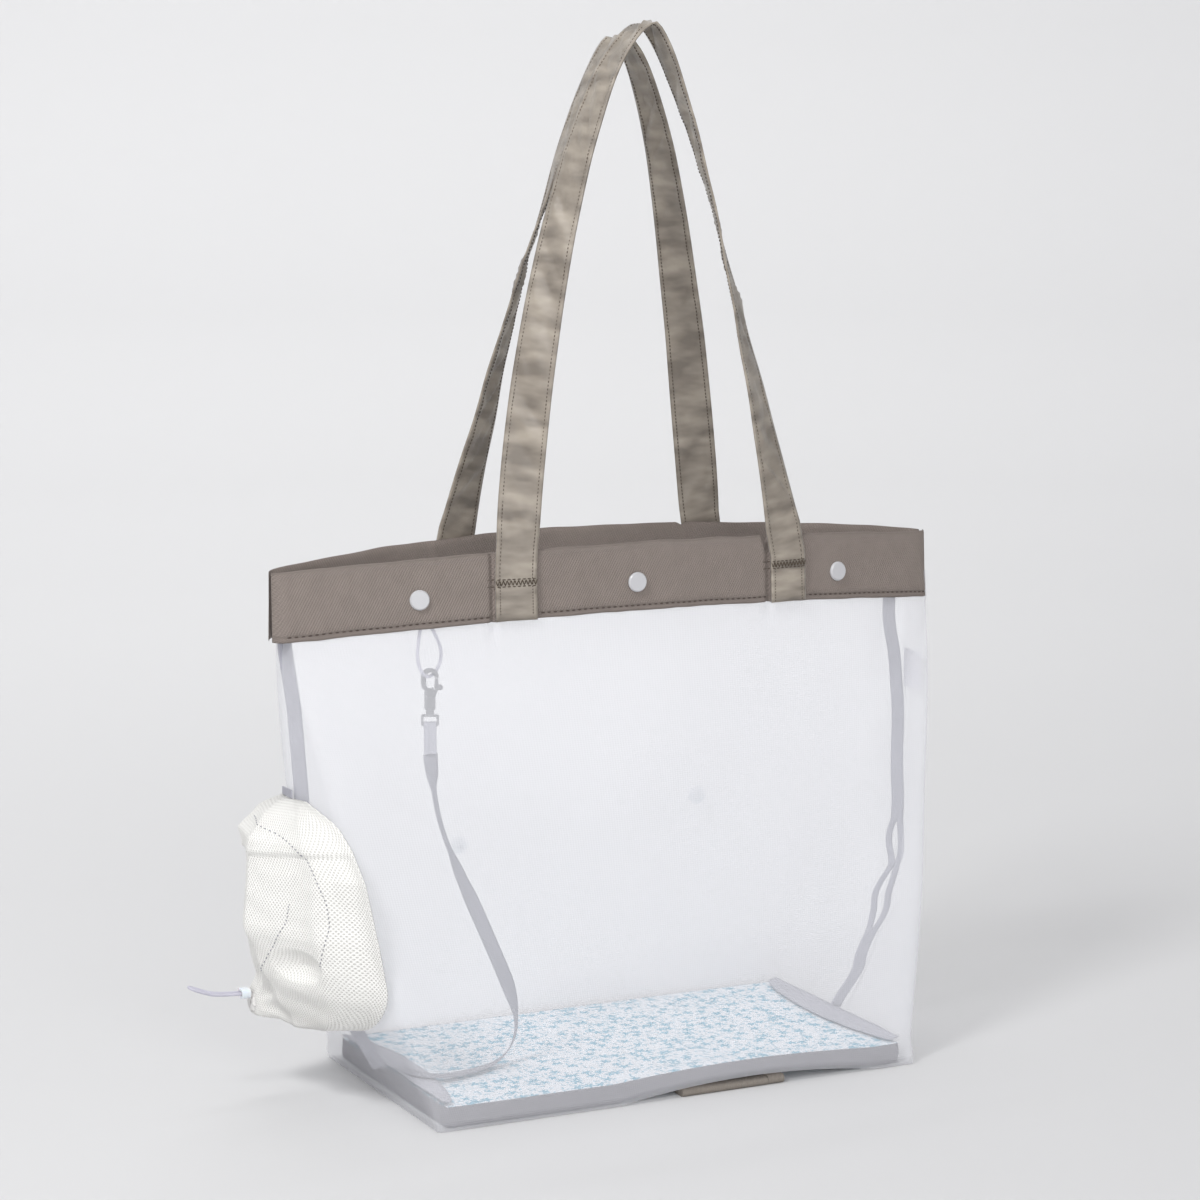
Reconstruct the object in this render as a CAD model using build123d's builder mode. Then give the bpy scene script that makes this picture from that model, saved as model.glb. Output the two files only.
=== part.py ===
"""Sheer beach tote with taupe band and handles, a base pad, a clasp tether and a side pouch.

Frame: origin on the floor under the middle of the base, +X to the right along the front,
+Y to the back, +Z up. Millimetres.
"""

import os
from math import cos, radians, sin

from build123d import *

os.makedirs("parts", exist_ok=True)

# ---- Driving dimensions ----
HEIGHT = 361.0  # floor to the top of the band, at the middle
CLOTH = 0.6  # sheer body cloth
BASE_SHIFT = 5.0  # the base stands this far to the right of the mouth
FRONT_BOW, BACK_BOW = 36.0, 43.0  # how far the two faces bow out at the mouth
BAND_TALL, BAND_OUT, BAND_IN = 45.0, 1.2, 1.8  # band height, and its layers each side of the cloth
DROOP = 10.5  # how much lower the mouth's ends are than its middle
STRAP_WIDE, STRAP_THICK = 28.0, 1.8
TACK_Z = 345.0  # the bar-tack where each handle becomes free
PAD_HIGH, PAD_HALF_X, PAD_HALF_Y = 15.0, 168.0, 91.0
CAP_D, SOCKET_D, POST_D = 13.0, 11.0, 2.6

# The body's walls: height, half width and half depth at the corners, left seam, right seam.
WALL = (
    (0.0, 175.0, 96.0, 175.0, 175.0),
    (50.0, 188.0, 84.0, 202.0, 202.0),
    (90.0, 197.0, 74.0, 218.0, 218.0),
    (125.0, 204.0, 65.0, 229.0, 229.0),
    (215.0, 221.0, 42.0, 234.0, 228.0),
    (262.0, 230.0, 27.0, 237.0, 229.0),
    (300.0, 237.0, 15.0, 242.0, 242.0),
    (HEIGHT, 242.0, 7.0, 242.5, 242.5),
)

# The pouch on the left side: height, front and back edge, and how far its front edge,
# middle and back edge stand off the body.
POUCH = (
    (52.0, -45.0, 55.0, 8.0, 30.0, 40.0),
    (80.0, -70.0, 60.0, 6.0, 34.0, 40.0),
    (120.0, -73.0, 62.0, 6.0, 36.0, 36.0),
    (160.0, -62.0, 62.0, 6.0, 32.0, 32.0),
    (180.0, -48.0, 62.0, 6.0, 28.0, 40.0),
    (195.0, -28.0, 42.0, 6.0, 18.0, 20.0),
    (205.0, -10.0, 10.0, 5.5, 8.0, 8.0),
)
POUCH_CLOTH, POUCH_GAP = 1.2, 1.5

FRONT, BACK = -1, 1


# ---- Shape of the walls ----
def between(rows, height):
    """The row of a table at that height, worked out along straight lines."""
    height = min(max(height, rows[0][0]), rows[-1][0])
    for low, high in zip(rows, rows[1:]):
        if height <= high[0]:
            share = (height - low[0]) / (high[0] - low[0])
            return [a + (b - a) * share for a, b in zip(low, high)]


def middle_x(height):
    return BASE_SHIFT * (1 - min(height, HEIGHT) / HEIGHT)


def bow(side, height):
    return (FRONT_BOW if side == FRONT else BACK_BOW) * min(height, HEIGHT) / HEIGHT


def face_y(side, x, height, out=0.0):
    """Where the front or back wall's outer face is, moved outward by `out`."""
    _, half_width, half_depth, _, _ = between(WALL, height)
    share = (x - middle_x(height)) / half_width
    return side * (half_depth + out + bow(side, height) * (1 - share**2))


def face_normal(side, x, height):
    """The wall's outward direction there, from how it changes along X and Z."""
    across = face_y(side, x + 1, height) - face_y(side, x - 1, height)
    up = face_y(side, x, height + 4) - face_y(side, x, height - 4)
    return Vector(-side * across / 2, side, -side * up / 8).normalized()


def half_outline(side, height, out):
    """Plan points of one half wall, left seam to right seam, moved outward by `out`."""
    _, half_width, half_depth, left, right = between(WALL, height)
    centre, wide = middle_x(height), half_width + out
    points = [(centre - left - out, side * 0.05)]
    for step in range(-4, 5):
        share = step / 4
        y = half_depth + out + bow(side, height) * (1 - share**2)
        points.append((centre + wide * share, side * y))
    points.append((centre + right + out, side * 0.05))
    return points


def plan_face(height, points):
    """One closed outline in the plan at that height."""
    with BuildSketch(Plane.XY.offset(height)) as outline:
        with BuildLine():
            Polyline(*points, close=True)
        make_face()
    return outline.sketch


def wall_strip(side, heights, outside, inside, mode=Mode.ADD):
    """A wall between two distances from the cloth's outer face."""
    sections = []
    for height in heights:
        outer = half_outline(side, height, outside)
        inner = half_outline(side, height, -inside)
        sections.append(plan_face(height, outer + inner[::-1]))
    loft(sections, ruled=True, mode=mode)


def face_patch(side, x_range, z_range, near, far):
    """A thin patch lying on the front or back wall, from `near` to `far` off its outer face."""
    sections = []
    for height in z_range:
        inner = [(x, face_y(side, x, height, near)) for x in x_range]
        outer = [(x, face_y(side, x, height, far)) for x in x_range]
        sections.append(plan_face(height, inner + outer[::-1]))
    loft(sections, ruled=True)


def mouth_drop(x):
    return DROOP * (x / WALL[-1][1]) ** 2


def band_profile(mode):
    """Keeps what is between the band's two drooping edges."""
    reach = WALL[-1][1] + 6
    drop = mouth_drop(reach)
    with BuildSketch(Plane.XZ.offset(-80)) as profile:
        with BuildLine():
            top = ThreePointArc((-reach, HEIGHT - drop), (0, HEIGHT), (reach, HEIGHT - drop))
            low = HEIGHT - BAND_TALL
            bottom = ThreePointArc((-reach, low - drop), (0, low), (reach, low - drop))
            Line(top @ 0, bottom @ 0)
            Line(top @ 1, bottom @ 1)
        make_face()
    extrude(profile.sketch, amount=160, mode=mode)


def face_plane(side, x, height, out):
    """A plane on the wall whose Z looks outward."""
    outward = face_normal(side, x, height)
    spot = Vector(x, face_y(side, x, height), height) + outward * out
    return Plane(origin=spot, x_dir=(0, 0, 1), z_dir=outward)


def disc(plane, radius, amount, mode=Mode.ADD, taper=0.0, bore=0.0):
    """A round disc or ring on a plane, extruded along the plane's Z."""
    with BuildSketch(plane) as circle:
        Circle(radius)
        if bore:
            Circle(bore, mode=Mode.SUBTRACT)
    extrude(circle.sketch, amount=amount, mode=mode, taper=taper)


def post_hole(plane):
    disc(plane, POST_D / 2 + 0.2, 16, mode=Mode.SUBTRACT)


def save(builder, label):
    builder.part.label = label
    export_step(builder.part, f"parts/{label}.step")


# ---- Sheer body: one cloth, as its front, back and base ----
PANEL_TOP, GROOVE_TOP = 325.0, 327.0
panel_heights = (0.7, 50, 90, 125, 215, 262, 300, PANEL_TOP)
BACK_FOLD_SNAPS = ((-81.0, 143.0), (101.0, 162.0))


def under_edge_arch(grow=0.0):
    """Cuts the low arch at the base's front edge, where the rolled tab lies under it."""
    with BuildSketch(Plane.XZ.offset(70 - grow)) as arch_face:
        with BuildLine():
            arch = ThreePointArc((-42 - 9 * grow, -0.1), (55, 8.2 + grow), (150 + 9 * grow, -0.1))
            Line(arch @ 0, arch @ 1)
        make_face()
    extrude(arch_face.sketch, amount=50, mode=Mode.SUBTRACT)


with BuildPart() as front_panel:
    wall_strip(FRONT, panel_heights, 0, CLOTH)
    under_edge_arch()
save(front_panel, "front_panel")

with BuildPart() as back_panel:
    wall_strip(BACK, panel_heights, 0, CLOTH)
    for x, z in BACK_FOLD_SNAPS:
        post_hole(face_plane(BACK, x, z, -8))
save(back_panel, "back_panel")

with BuildPart() as base_panel:
    with BuildSketch():
        with Locations((BASE_SHIFT, 0)):
            Rectangle(2 * WALL[0][1], 2 * WALL[0][2])
    extrude(amount=CLOTH)
    under_edge_arch()
save(base_panel, "base_panel")


# ---- Taupe band round the mouth: a folded hairpin that holds the cloth's top edge ----
FRONT_SNAPS = (-153.0, -5.0, 153.0)
BACK_SNAPS = (-153.0, -5.0, 153.0)
SNAP_DOWN = 0.58 * BAND_TALL


def snap_height(x):
    return HEIGHT - SNAP_DOWN - mouth_drop(x)


def band(side, snaps):
    wall_strip(side, (300, HEIGHT + 0.5), BAND_OUT, BAND_IN)
    wall_strip(side, (295, 300, GROOVE_TOP), 0.1, CLOTH + 0.1, mode=Mode.SUBTRACT)
    band_profile(Mode.INTERSECT)
    for x in snaps:
        post_hole(face_plane(side, x, snap_height(x), -8))


with BuildPart() as front_band:
    band(FRONT, FRONT_SNAPS)
save(front_band, "front_band")

with BuildPart() as back_band:
    band(BACK, BACK_SNAPS)
save(back_band, "back_band")


# ---- Press snaps: cap with its post, and the socket or stud on the other side ----
def snap_cap(plane):
    """A low domed cap whose post runs back through the cloth."""
    disc(plane, CAP_D / 2, 1.0)
    disc(plane.offset(1.0), CAP_D / 2, 1.0, taper=38)
    disc(plane, POST_D / 2, -5.2)


def snap_ring(plane, bore, stud=0.0):
    """A flat ring with a bore for the post, and a stud where one is asked for."""
    disc(plane, SOCKET_D / 2, 1.4, bore=bore / 2)
    disc(plane.offset(1.4), 2.9, 1.2 + stud, bore=bore / 2)


def inward_plane(side, x, height, inside):
    """A plane on the wall's inner side whose Z looks into the bag."""
    outward = face_plane(side, x, height, -inside)
    return Plane(origin=outward.origin, x_dir=outward.x_dir, z_dir=-outward.z_dir)


CAP_GAP, RING_GAP = BAND_OUT + 0.15, BAND_IN + 1.1

with BuildPart() as front_snap_caps:
    for x in FRONT_SNAPS:
        snap_cap(face_plane(FRONT, x, snap_height(x), CAP_GAP))
save(front_snap_caps, "front_snap_caps")

with BuildPart() as front_snap_sockets:
    for x in FRONT_SNAPS:
        snap_ring(inward_plane(FRONT, x, snap_height(x), RING_GAP), POST_D + 0.4)
save(front_snap_sockets, "front_snap_sockets")

with BuildPart() as back_snap_caps:
    for x in BACK_SNAPS:
        snap_cap(face_plane(BACK, x, snap_height(x), CAP_GAP))
save(back_snap_caps, "back_snap_caps")

with BuildPart() as back_snap_studs:
    for x in BACK_SNAPS:
        snap_ring(inward_plane(BACK, x, snap_height(x), RING_GAP), POST_D + 0.4, stud=1.2)
save(back_snap_studs, "back_snap_studs")

with BuildPart() as fold_snap_caps:
    for x, z in BACK_FOLD_SNAPS:
        snap_cap(face_plane(BACK, x, z, 0.6))
save(fold_snap_caps, "fold_snap_caps")

with BuildPart() as fold_snap_sockets:
    for x, z in BACK_FOLD_SNAPS:
        snap_ring(inward_plane(BACK, x, z, CLOTH + 1.2), POST_D + 0.4)
save(fold_snap_sockets, "fold_snap_sockets")


# ---- Binding tapes over the seams, and the care label ----
TAPE_WIDE, TAPE_THICK = 10.0, 0.8


def seam_tape(hand):
    """The bound side seam's fin, standing into the bag along the seam."""
    sections = []
    for height in (20, 50, 90, 125, 215, 262, 296):
        row = between(WALL, height)
        seam = row[3] if hand < 0 else row[4]
        outer = middle_x(height) + hand * (seam - 3.5)
        inner = outer - hand * TAPE_WIDE
        low, high = 0.6, 0.6 + TAPE_THICK
        corners = [(outer, low), (inner, low), (inner, high), (outer, high)]
        sections.append(plan_face(height, corners))
    loft(sections, ruled=True)


def base_tape(hand):
    """The bound corner seam along a short edge of the base, folded in over the pad."""
    x = BASE_SHIFT + hand * (PAD_HALF_X - 4)
    with BuildSketch(Plane.XY.offset(PAD_HIGH + 0.3)) as strip:
        with Locations((x, 0)):
            RectangleRounded(12, 2 * PAD_HALF_Y - 10, 4)
    extrude(strip.sketch, amount=TAPE_THICK)


with BuildPart() as left_seam_tape:
    seam_tape(-1)
save(left_seam_tape, "left_seam_tape")

with BuildPart() as right_seam_tape:
    seam_tape(1)
save(right_seam_tape, "right_seam_tape")

with BuildPart() as left_base_tape:
    base_tape(-1)
save(left_base_tape, "left_base_tape")

with BuildPart() as right_base_tape:
    base_tape(1)
save(right_base_tape, "right_base_tape")

with BuildPart() as care_label:
    with BuildSketch(Plane.YZ.offset(225.2)):
        with Locations((-13, 255.5)):
            Rectangle(22, 27)
    extrude(amount=0.4)
save(care_label, "care_label")


# ---- Base pad: a foam board in a printed cotton cover ----
COVER = 1.0


def pad_block(inset):
    """The pad's outer shape, drawn in by `inset` all round, arch and all."""
    low = CLOTH + 0.1 + inset
    with BuildSketch(Plane.XY.offset(low)) as outline:
        with Locations((BASE_SHIFT, 0)):
            RectangleRounded(2 * (PAD_HALF_X - inset), 2 * (PAD_HALF_Y - inset), 7 - inset)
    extrude(outline.sketch, amount=PAD_HIGH - inset - low)
    under_edge_arch(inset)


with BuildPart() as pad_hollow:
    pad_block(COVER)

with BuildPart() as pad_cover:
    pad_block(0)
    add(pad_hollow.part, mode=Mode.SUBTRACT)
save(pad_cover, "pad_cover")

with BuildPart() as pad_foam:
    pad_block(COVER + 0.1)
save(pad_foam, "pad_foam")


# ---- Rolled tab under the base's front edge, and its end sleeve ----
TAB_Y, TAB_HALF = -89.0, 6.0


def tab_piece(x_from, x_to, high):
    with BuildSketch(Plane.YZ.offset(x_from)) as section:
        with Locations((TAB_Y, high / 2)):
            RectangleRounded(2 * TAB_HALF, high, high / 2 - 0.1)
    extrude(section.sketch, amount=x_to - x_from)


with BuildPart() as base_tab:
    tab_piece(4, 67.8, 5.0)
save(base_tab, "base_tab")

with BuildPart() as base_tab_end:
    tab_piece(68, 80, 6.0)
save(base_tab_end, "base_tab_end")


# ---- Handles: two straps sewn flat on the band, twisting to an arch ----
# Each handle: side, left foot, apex, right foot, apex y, apex height, leg exponents.
FRONT_STRAP = (FRONT, -90.0, 14.0, 111.0, -20.0, 695.0, (1.4, 0.6), (1.0, 0.7))
BACK_STRAP = (BACK, -97.0, 8.0, 92.0, 13.0, 687.0, (1.0, 0.7), (1.0, 0.55))
STRAP_GAP = BAND_OUT + 0.3
STRAP_STEPS = (1.0, 0.985, 0.95, 0.88, 0.78, 0.66, 0.54, 0.42, 0.31, 0.21, 0.12, 0.05)


def strap_spot(strap, share):
    """The strap's centre: share runs from -1 at the left foot over 0 at the apex to 1."""
    side, left, apex, right, apex_y, top, left_leg, right_leg = strap
    foot, (p, q) = (left, left_leg) if share < 0 else (right, right_leg)
    rise = (1 - abs(share) ** (1 / q)) ** (1 / p)
    foot_y = face_y(side, foot, TACK_Z, STRAP_GAP + STRAP_THICK / 2)
    lean = max(0.0, rise - 0.06) / 0.94
    x = apex + (foot - apex) * abs(share)
    start = TACK_Z + 0.3
    return Vector(x, foot_y + (apex_y - foot_y) * lean, start + (top - start) * rise), lean


def strap_plane(strap, share):
    """A plane across the strap: its X is across the width and its Y through the thickness."""
    side = strap[0]
    spot, lean = strap_spot(strap, share)
    before, _ = strap_spot(strap, max(share - 0.004, -1))
    after, _ = strap_spot(strap, min(share + 0.004, 1))
    along = (after - before).normalized() if abs(share) < 1 else Vector(0, 0, 1)
    foot_x = strap[1] if share < 0 else strap[3]
    flat = face_normal(side, foot_x, TACK_Z)
    radial = along.cross(Vector(0, 1, 0))
    twist = radians(90 * lean**0.7)
    normal = flat * cos(twist) + radial * sin(twist)
    across = along.cross(normal).normalized()
    return Plane(origin=spot, x_dir=across, z_dir=along)


def strap_loop(strap):
    shares = [-s for s in STRAP_STEPS] + [0.0] + list(STRAP_STEPS[::-1])
    sections = []
    for share in shares:
        with BuildSketch(strap_plane(strap, share)) as section:
            Rectangle(STRAP_WIDE, STRAP_THICK)
        sections.append(section.sketch)
    loft(sections, ruled=True)


def strap_ends(strap):
    side, left, _, right = strap[:4]
    for foot in (left, right):
        low = HEIGHT - BAND_TALL - mouth_drop(foot) + 0.5
        x_range = (foot - STRAP_WIDE / 2, foot + STRAP_WIDE / 2)
        face_patch(side, x_range, (low, TACK_Z), STRAP_GAP, STRAP_GAP + STRAP_THICK)


with BuildPart() as front_handle_ends:
    strap_ends(FRONT_STRAP)
save(front_handle_ends, "front_handle_ends")

with BuildPart() as back_handle_ends:
    strap_ends(BACK_STRAP)
save(back_handle_ends, "back_handle_ends")

with BuildPart() as front_handle:
    strap_loop(FRONT_STRAP)
save(front_handle, "front_handle")

with BuildPart() as back_handle:
    strap_loop(BACK_STRAP)
save(back_handle, "back_handle")


# ---- Cords ----
def cord_radii(points, longest=1000.0):
    """For each inner point, 0.45 of the shorter run over the tangent of half the turn."""
    radii = []
    for a, b, c in zip(points, points[1:], points[2:]):
        before, after = Vector(*b) - Vector(*a), Vector(*c) - Vector(*b)
        half_turn = radians(before.get_angle(after) / 2)
        share = sin(half_turn) / cos(half_turn)
        radii.append(min(longest, 0.45 * min(before.length, after.length) / share))
    return radii


def cord_tube(points, thick, name):
    """A round tube along straight runs and tangent arcs; prints its radii and length."""
    radii = cord_radii(points)
    with BuildLine() as route:
        FilletPolyline(*points, radius=radii)
    wire = route.wires()[0]
    with BuildSketch(Plane(origin=wire @ 0, z_dir=wire % 0)) as section:
        Circle(thick / 2)
    sweep(section.sketch, path=wire)
    print(name, "length", round(wire.length, 1), "radii", [round(r, 1) for r in radii])
    return wire.length


LOOP_D, TETHER_D, DRAWCORD_D = 2.2, 4.0, 2.0

# Elastic loop sewn behind the left snap, hanging as a drop.
LOOP_ROUTE = (
    (-150.2, -27.8, 316.0),
    (-152.8, -28.0, 304.0),
    (-154.2, -28.9, 290.5),
    (-149.4, -30.0, 280.0),
    (-138.6, -21.4, 280.2),
    (-133.6, -22.5, 291.5),
    (-137.9, -25.4, 304.5),
    (-146.0, -27.8, 316.0),
)
with BuildPart() as elastic_loop:
    length = cord_tube(LOOP_ROUTE, LOOP_D, "elastic_loop")
    print("section x length", round(3.1416 * (LOOP_D / 2) ** 2 * length), round(elastic_loop.part.volume))
save(elastic_loop, "elastic_loop")


# ---- Lobster clasp: hook, sprung gate on its pin, and the swivel eye ----
CLASP = Plane(origin=(-144.0, -25.7, 258.0), x_dir=(1, 0, 0), z_dir=(0, -1, 0))
HOOK_THICK, HOOK_BODY = 2.4, 4.0
GATE_PIVOT = (2.0, 9.6)

with BuildPart() as clasp_hook:
    with BuildSketch(CLASP):
        with Locations((0, 19.6)):
            SlotOverall(15.6, 11.4, rotation=90)
        with Locations((0, 6.5)):
            Rectangle(6.0, 12.2)
        with Locations((0.3, 19.4)):
            SlotOverall(10.6, 6.6, rotation=90, mode=Mode.SUBTRACT)
        with Locations((4.6, 16.6)):
            Rectangle(5.0, 8.6, mode=Mode.SUBTRACT)
    extrude(amount=HOOK_THICK / 2, both=True)
    with BuildSketch(CLASP):
        with Locations((0, 6.5)):
            RectangleRounded(6.0, 12.2, 1.0)
    extrude(amount=HOOK_BODY / 2, both=True)
    with BuildSketch(Plane.XY.offset(CLASP.origin.Z - 2.2)):
        with Locations((CLASP.origin.X, CLASP.origin.Y)):
            Circle(2.6)
    extrude(amount=3.6)
    with BuildSketch(CLASP):
        with Locations((3.4, 10.6)):
            Rectangle(7.6, 6.4)
    extrude(amount=0.9, both=True, mode=Mode.SUBTRACT)
    with BuildSketch(CLASP):
        with Locations(GATE_PIVOT):
            Circle(0.75)
    extrude(amount=HOOK_BODY, both=True, mode=Mode.SUBTRACT)
save(clasp_hook, "clasp_hook")

with BuildPart() as clasp_gate:
    with BuildSketch(CLASP):
        with BuildLine():
            Polyline((1.4, 11.0), (3.2, 8.4), (5.6, 13.0), (5.6, 20.3), (3.9, 20.3), (3.5, 13.5), close=True)
        make_face()
        with Locations(GATE_PIVOT):
            Circle(1.9)
            Circle(0.75, mode=Mode.SUBTRACT)
        with Locations((6.9, 14.4)):
            Circle(1.9)
    extrude(amount=0.8, both=True)
save(clasp_gate, "clasp_gate")

with BuildPart() as clasp_pin:
    with BuildSketch(CLASP):
        with Locations(GATE_PIVOT):
            Circle(0.65)
    extrude(amount=HOOK_BODY / 2, both=True)
save(clasp_pin, "clasp_pin")

EYE_TOP = CLASP.origin.Z - 2.6
with BuildPart() as clasp_eye:
    eye_plane = Plane(origin=(-144.0, -25.7, EYE_TOP), x_dir=(0.9, -0.4359, 0), z_dir=(-0.4359, -0.9, 0))
    with BuildSketch(eye_plane):
        with Locations((0, -3.9)):
            RectangleRounded(11.6, 7.8, 1.6)
            RectangleRounded(8.4, 4.6, 0.8, mode=Mode.SUBTRACT)
    extrude(amount=0.9, both=True)
save(clasp_eye, "clasp_eye")


# ---- Tether tape: from the clasp's eye down to the base's left seam ----
with BuildPart() as tether_fold:
    fold_plane = Plane(origin=(-144.0, -25.7, EYE_TOP), x_dir=(0.9, -0.4359, 0), z_dir=(-0.4359, -0.9, 0))
    with BuildSketch(fold_plane):
        with Locations((0, -15.4)):
            Rectangle(8.0, 20.6)
    extrude(amount=1.9, both=True)
    with BuildSketch(fold_plane):
        with Locations((0, -7.0)):
            Rectangle(9.0, 2.4)
    extrude(amount=1.0, both=True, mode=Mode.SUBTRACT)
save(tether_fold, "tether_fold")

TETHER_ROUTE = (
    (-144.0, -25.7, 229.4),
    (-142.3, -26.3, 205.0),
    (-138.0, -28.0, 181.0),
    (-128.0, -30.0, 154.0),
    (-115.0, -31.0, 125.0),
    (-101.0, -28.5, 95.0),
    (-88.0, -24.0, 68.0),
    (-80.5, -20.5, 46.0),
    (-83.0, -19.0, 27.0),
    (-97.0, -22.5, 17.6),
    (-118.0, -32.0, 17.4),
    (-139.0, -37.0, 17.7),
    (-153.0, -31.0, 18.6),
    (-159.0, -18.0, 18.7),
    (-160.0, -8.0, 18.6),
)
with BuildPart() as tether_tape:
    length = cord_tube(TETHER_ROUTE, TETHER_D, "tether_tape")
    print("section x length", round(3.1416 * (TETHER_D / 2) ** 2 * length), round(tether_tape.part.volume))
save(tether_tape, "tether_tape")


# ---- Pouch on the left side seam ----
def body_left_x(y, height):
    """The body's outer left side there."""
    _, half_width, half_depth, left, _ = between(WALL, height)
    share = min(abs(y) / half_depth, 1.0)
    return middle_x(height) - left + (left - half_width) * share


def pouch_outline(height, inset):
    _, front, back, out_front, out_middle, out_back = between(POUCH, height)
    front, back = front + inset, back - inset
    inner = [(body_left_x(y, height) - POUCH_GAP - inset, y) for y in (front, 0, back)]
    spread = (
        (front, out_front),
        (0.6 * front, 0.75 * out_middle),
        (0, out_middle),
        (0.6 * back, 0.5 * out_middle + 0.5 * out_back),
        (back, 0.7 * out_back),
    )
    outer = [(body_left_x(y, height) - out + inset, y) for y, out in spread]
    return inner + outer[::-1]


def pouch_loft(heights, inset, mode=Mode.ADD):
    sections = [plan_face(height, pouch_outline(height, inset)) for height in heights]
    loft(sections, ruled=True, mode=mode)


HEM = Plane(origin=(-229.0, 42.0, 61.0), x_dir=(0, 1, 0), z_dir=(-1, 0, 0))
HEM_LONG, STRAND_UP = 20.0, 6.3

with BuildPart() as pouch_shell:
    pouch_loft([row[0] for row in POUCH], 0)
    pouch_loft((53.5, 80, 120, 160, 180, 195, 199), POUCH_CLOTH, Mode.SUBTRACT)
    with BuildSketch(HEM.offset(-6)):
        Circle(8.1)
    extrude(amount=40, mode=Mode.SUBTRACT)
save(pouch_shell, "pouch_shell")

with BuildPart() as pouch_hem:
    with BuildSketch(HEM.offset(-4)):
        Circle(8.0)
        Circle(4.6, mode=Mode.SUBTRACT)
    extrude(amount=HEM_LONG)
save(pouch_hem, "pouch_hem")

with BuildPart() as pouch_tab:
    with BuildSketch(Plane.XY.offset(205.2)):
        with Locations((-232.5, 0)):
            Rectangle(1.0, 16)
    extrude(amount=5)
save(pouch_tab, "pouch_tab")


# ---- Drawcord loop and its stop ----
CORD_START = HEM.origin.X - HEM_LONG + 4 - 0.1
STRAND_Z = HEM.origin.Z + STRAND_UP
DRAWCORD_ROUTE = (
    (CORD_START, 40.0, STRAND_Z),
    (CORD_START - 22, 40.0, STRAND_Z + 0.4),
    (CORD_START - 34, 38.6, STRAND_Z + 4.6),
    (CORD_START - 41, 40.8, STRAND_Z + 7.6),
    (CORD_START - 41, 45.8, STRAND_Z + 7.8),
    (CORD_START - 34, 47.0, STRAND_Z + 4.8),
    (CORD_START - 22, 44.2, STRAND_Z + 0.5),
    (CORD_START, 44.2, STRAND_Z),
)
with BuildPart() as drawcord:
    length = cord_tube(DRAWCORD_ROUTE, DRAWCORD_D, "drawcord")
    print("section x length", round(3.1416 * (DRAWCORD_D / 2) ** 2 * length), round(drawcord.part.volume))
save(drawcord, "drawcord")

with BuildPart() as cord_stop:
    with BuildSketch(Plane.YZ.offset(CORD_START - 0.4)):
        with Locations((42.1, STRAND_Z)):
            RectangleRounded(10.0, 6.4, 3.0)
            RectangleRounded(7.2, 3.2, 1.4, mode=Mode.SUBTRACT)
    extrude(amount=-6.0)
save(cord_stop, "cord_stop")
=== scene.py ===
from math import atan2, cos, pi, sin

import bmesh
import bpy
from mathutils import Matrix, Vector, noise


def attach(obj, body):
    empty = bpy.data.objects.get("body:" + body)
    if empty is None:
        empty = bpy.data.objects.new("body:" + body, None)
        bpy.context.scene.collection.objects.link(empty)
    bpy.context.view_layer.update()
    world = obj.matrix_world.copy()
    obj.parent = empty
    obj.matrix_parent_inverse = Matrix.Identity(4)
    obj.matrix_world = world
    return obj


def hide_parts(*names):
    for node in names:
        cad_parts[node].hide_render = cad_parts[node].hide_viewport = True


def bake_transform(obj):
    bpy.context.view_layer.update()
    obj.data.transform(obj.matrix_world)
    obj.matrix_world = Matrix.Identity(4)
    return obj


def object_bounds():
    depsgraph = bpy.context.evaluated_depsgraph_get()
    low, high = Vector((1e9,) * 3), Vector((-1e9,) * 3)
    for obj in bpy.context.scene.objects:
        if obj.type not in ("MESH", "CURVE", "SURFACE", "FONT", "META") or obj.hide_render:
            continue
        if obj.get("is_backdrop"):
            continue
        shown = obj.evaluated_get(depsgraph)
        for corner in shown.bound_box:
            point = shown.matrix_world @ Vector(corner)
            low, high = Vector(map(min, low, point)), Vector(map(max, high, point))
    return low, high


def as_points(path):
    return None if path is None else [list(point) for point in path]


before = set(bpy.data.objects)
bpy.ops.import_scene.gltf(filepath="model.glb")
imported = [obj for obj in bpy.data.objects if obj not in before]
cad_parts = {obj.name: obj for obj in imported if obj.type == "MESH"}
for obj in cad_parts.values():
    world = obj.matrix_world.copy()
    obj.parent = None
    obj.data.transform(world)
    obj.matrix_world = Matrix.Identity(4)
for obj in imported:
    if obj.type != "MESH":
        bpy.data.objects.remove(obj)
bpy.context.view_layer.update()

MM = 0.001

# ---- Studio: a round pale paper sweep with three soft lights ----
# The key light is at the upper left, a broad weaker one is in front and a third lights the paper.
# The camera stands in front and to the left of the bag, a little above the middle of its handles.
scene = bpy.context.scene
scene.view_settings.view_transform = "Standard"


def link(thing):
    scene.collection.objects.link(thing)
    return thing


lens = bpy.data.cameras.new("camera")
lens.lens = 98.6
camera = link(bpy.data.objects.new("camera", lens))
camera.location = (-0.9611, -1.9375, 0.6359)
aim = Vector((-0.00985, 0, 0.31735)) - camera.location
camera.rotation_euler = aim.to_track_quat("-Z", "Y").to_euler()
scene.camera = camera


def softbox(name, place, aimed_at, wide, watts):
    light = bpy.data.lights.new(name, "AREA")
    light.shape, light.size, light.energy = "DISK", wide, watts
    lamp = link(bpy.data.objects.new(name, light))
    lamp.location = place
    lamp.rotation_euler = (Vector(aimed_at) - Vector(place)).to_track_quat("-Z", "Y").to_euler()


softbox("key", (-1.9, -0.9, 2.4), (0, 0, 0.2), 0.8, 43)
softbox("front", (-0.5, -2.7, 1.0), (0, 0, 0.35), 1.7, 25)
softbox("paper light", (0.6, 1.5, 3.2), (0.5, 3.9, 1.6), 2.0, 60)

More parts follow.
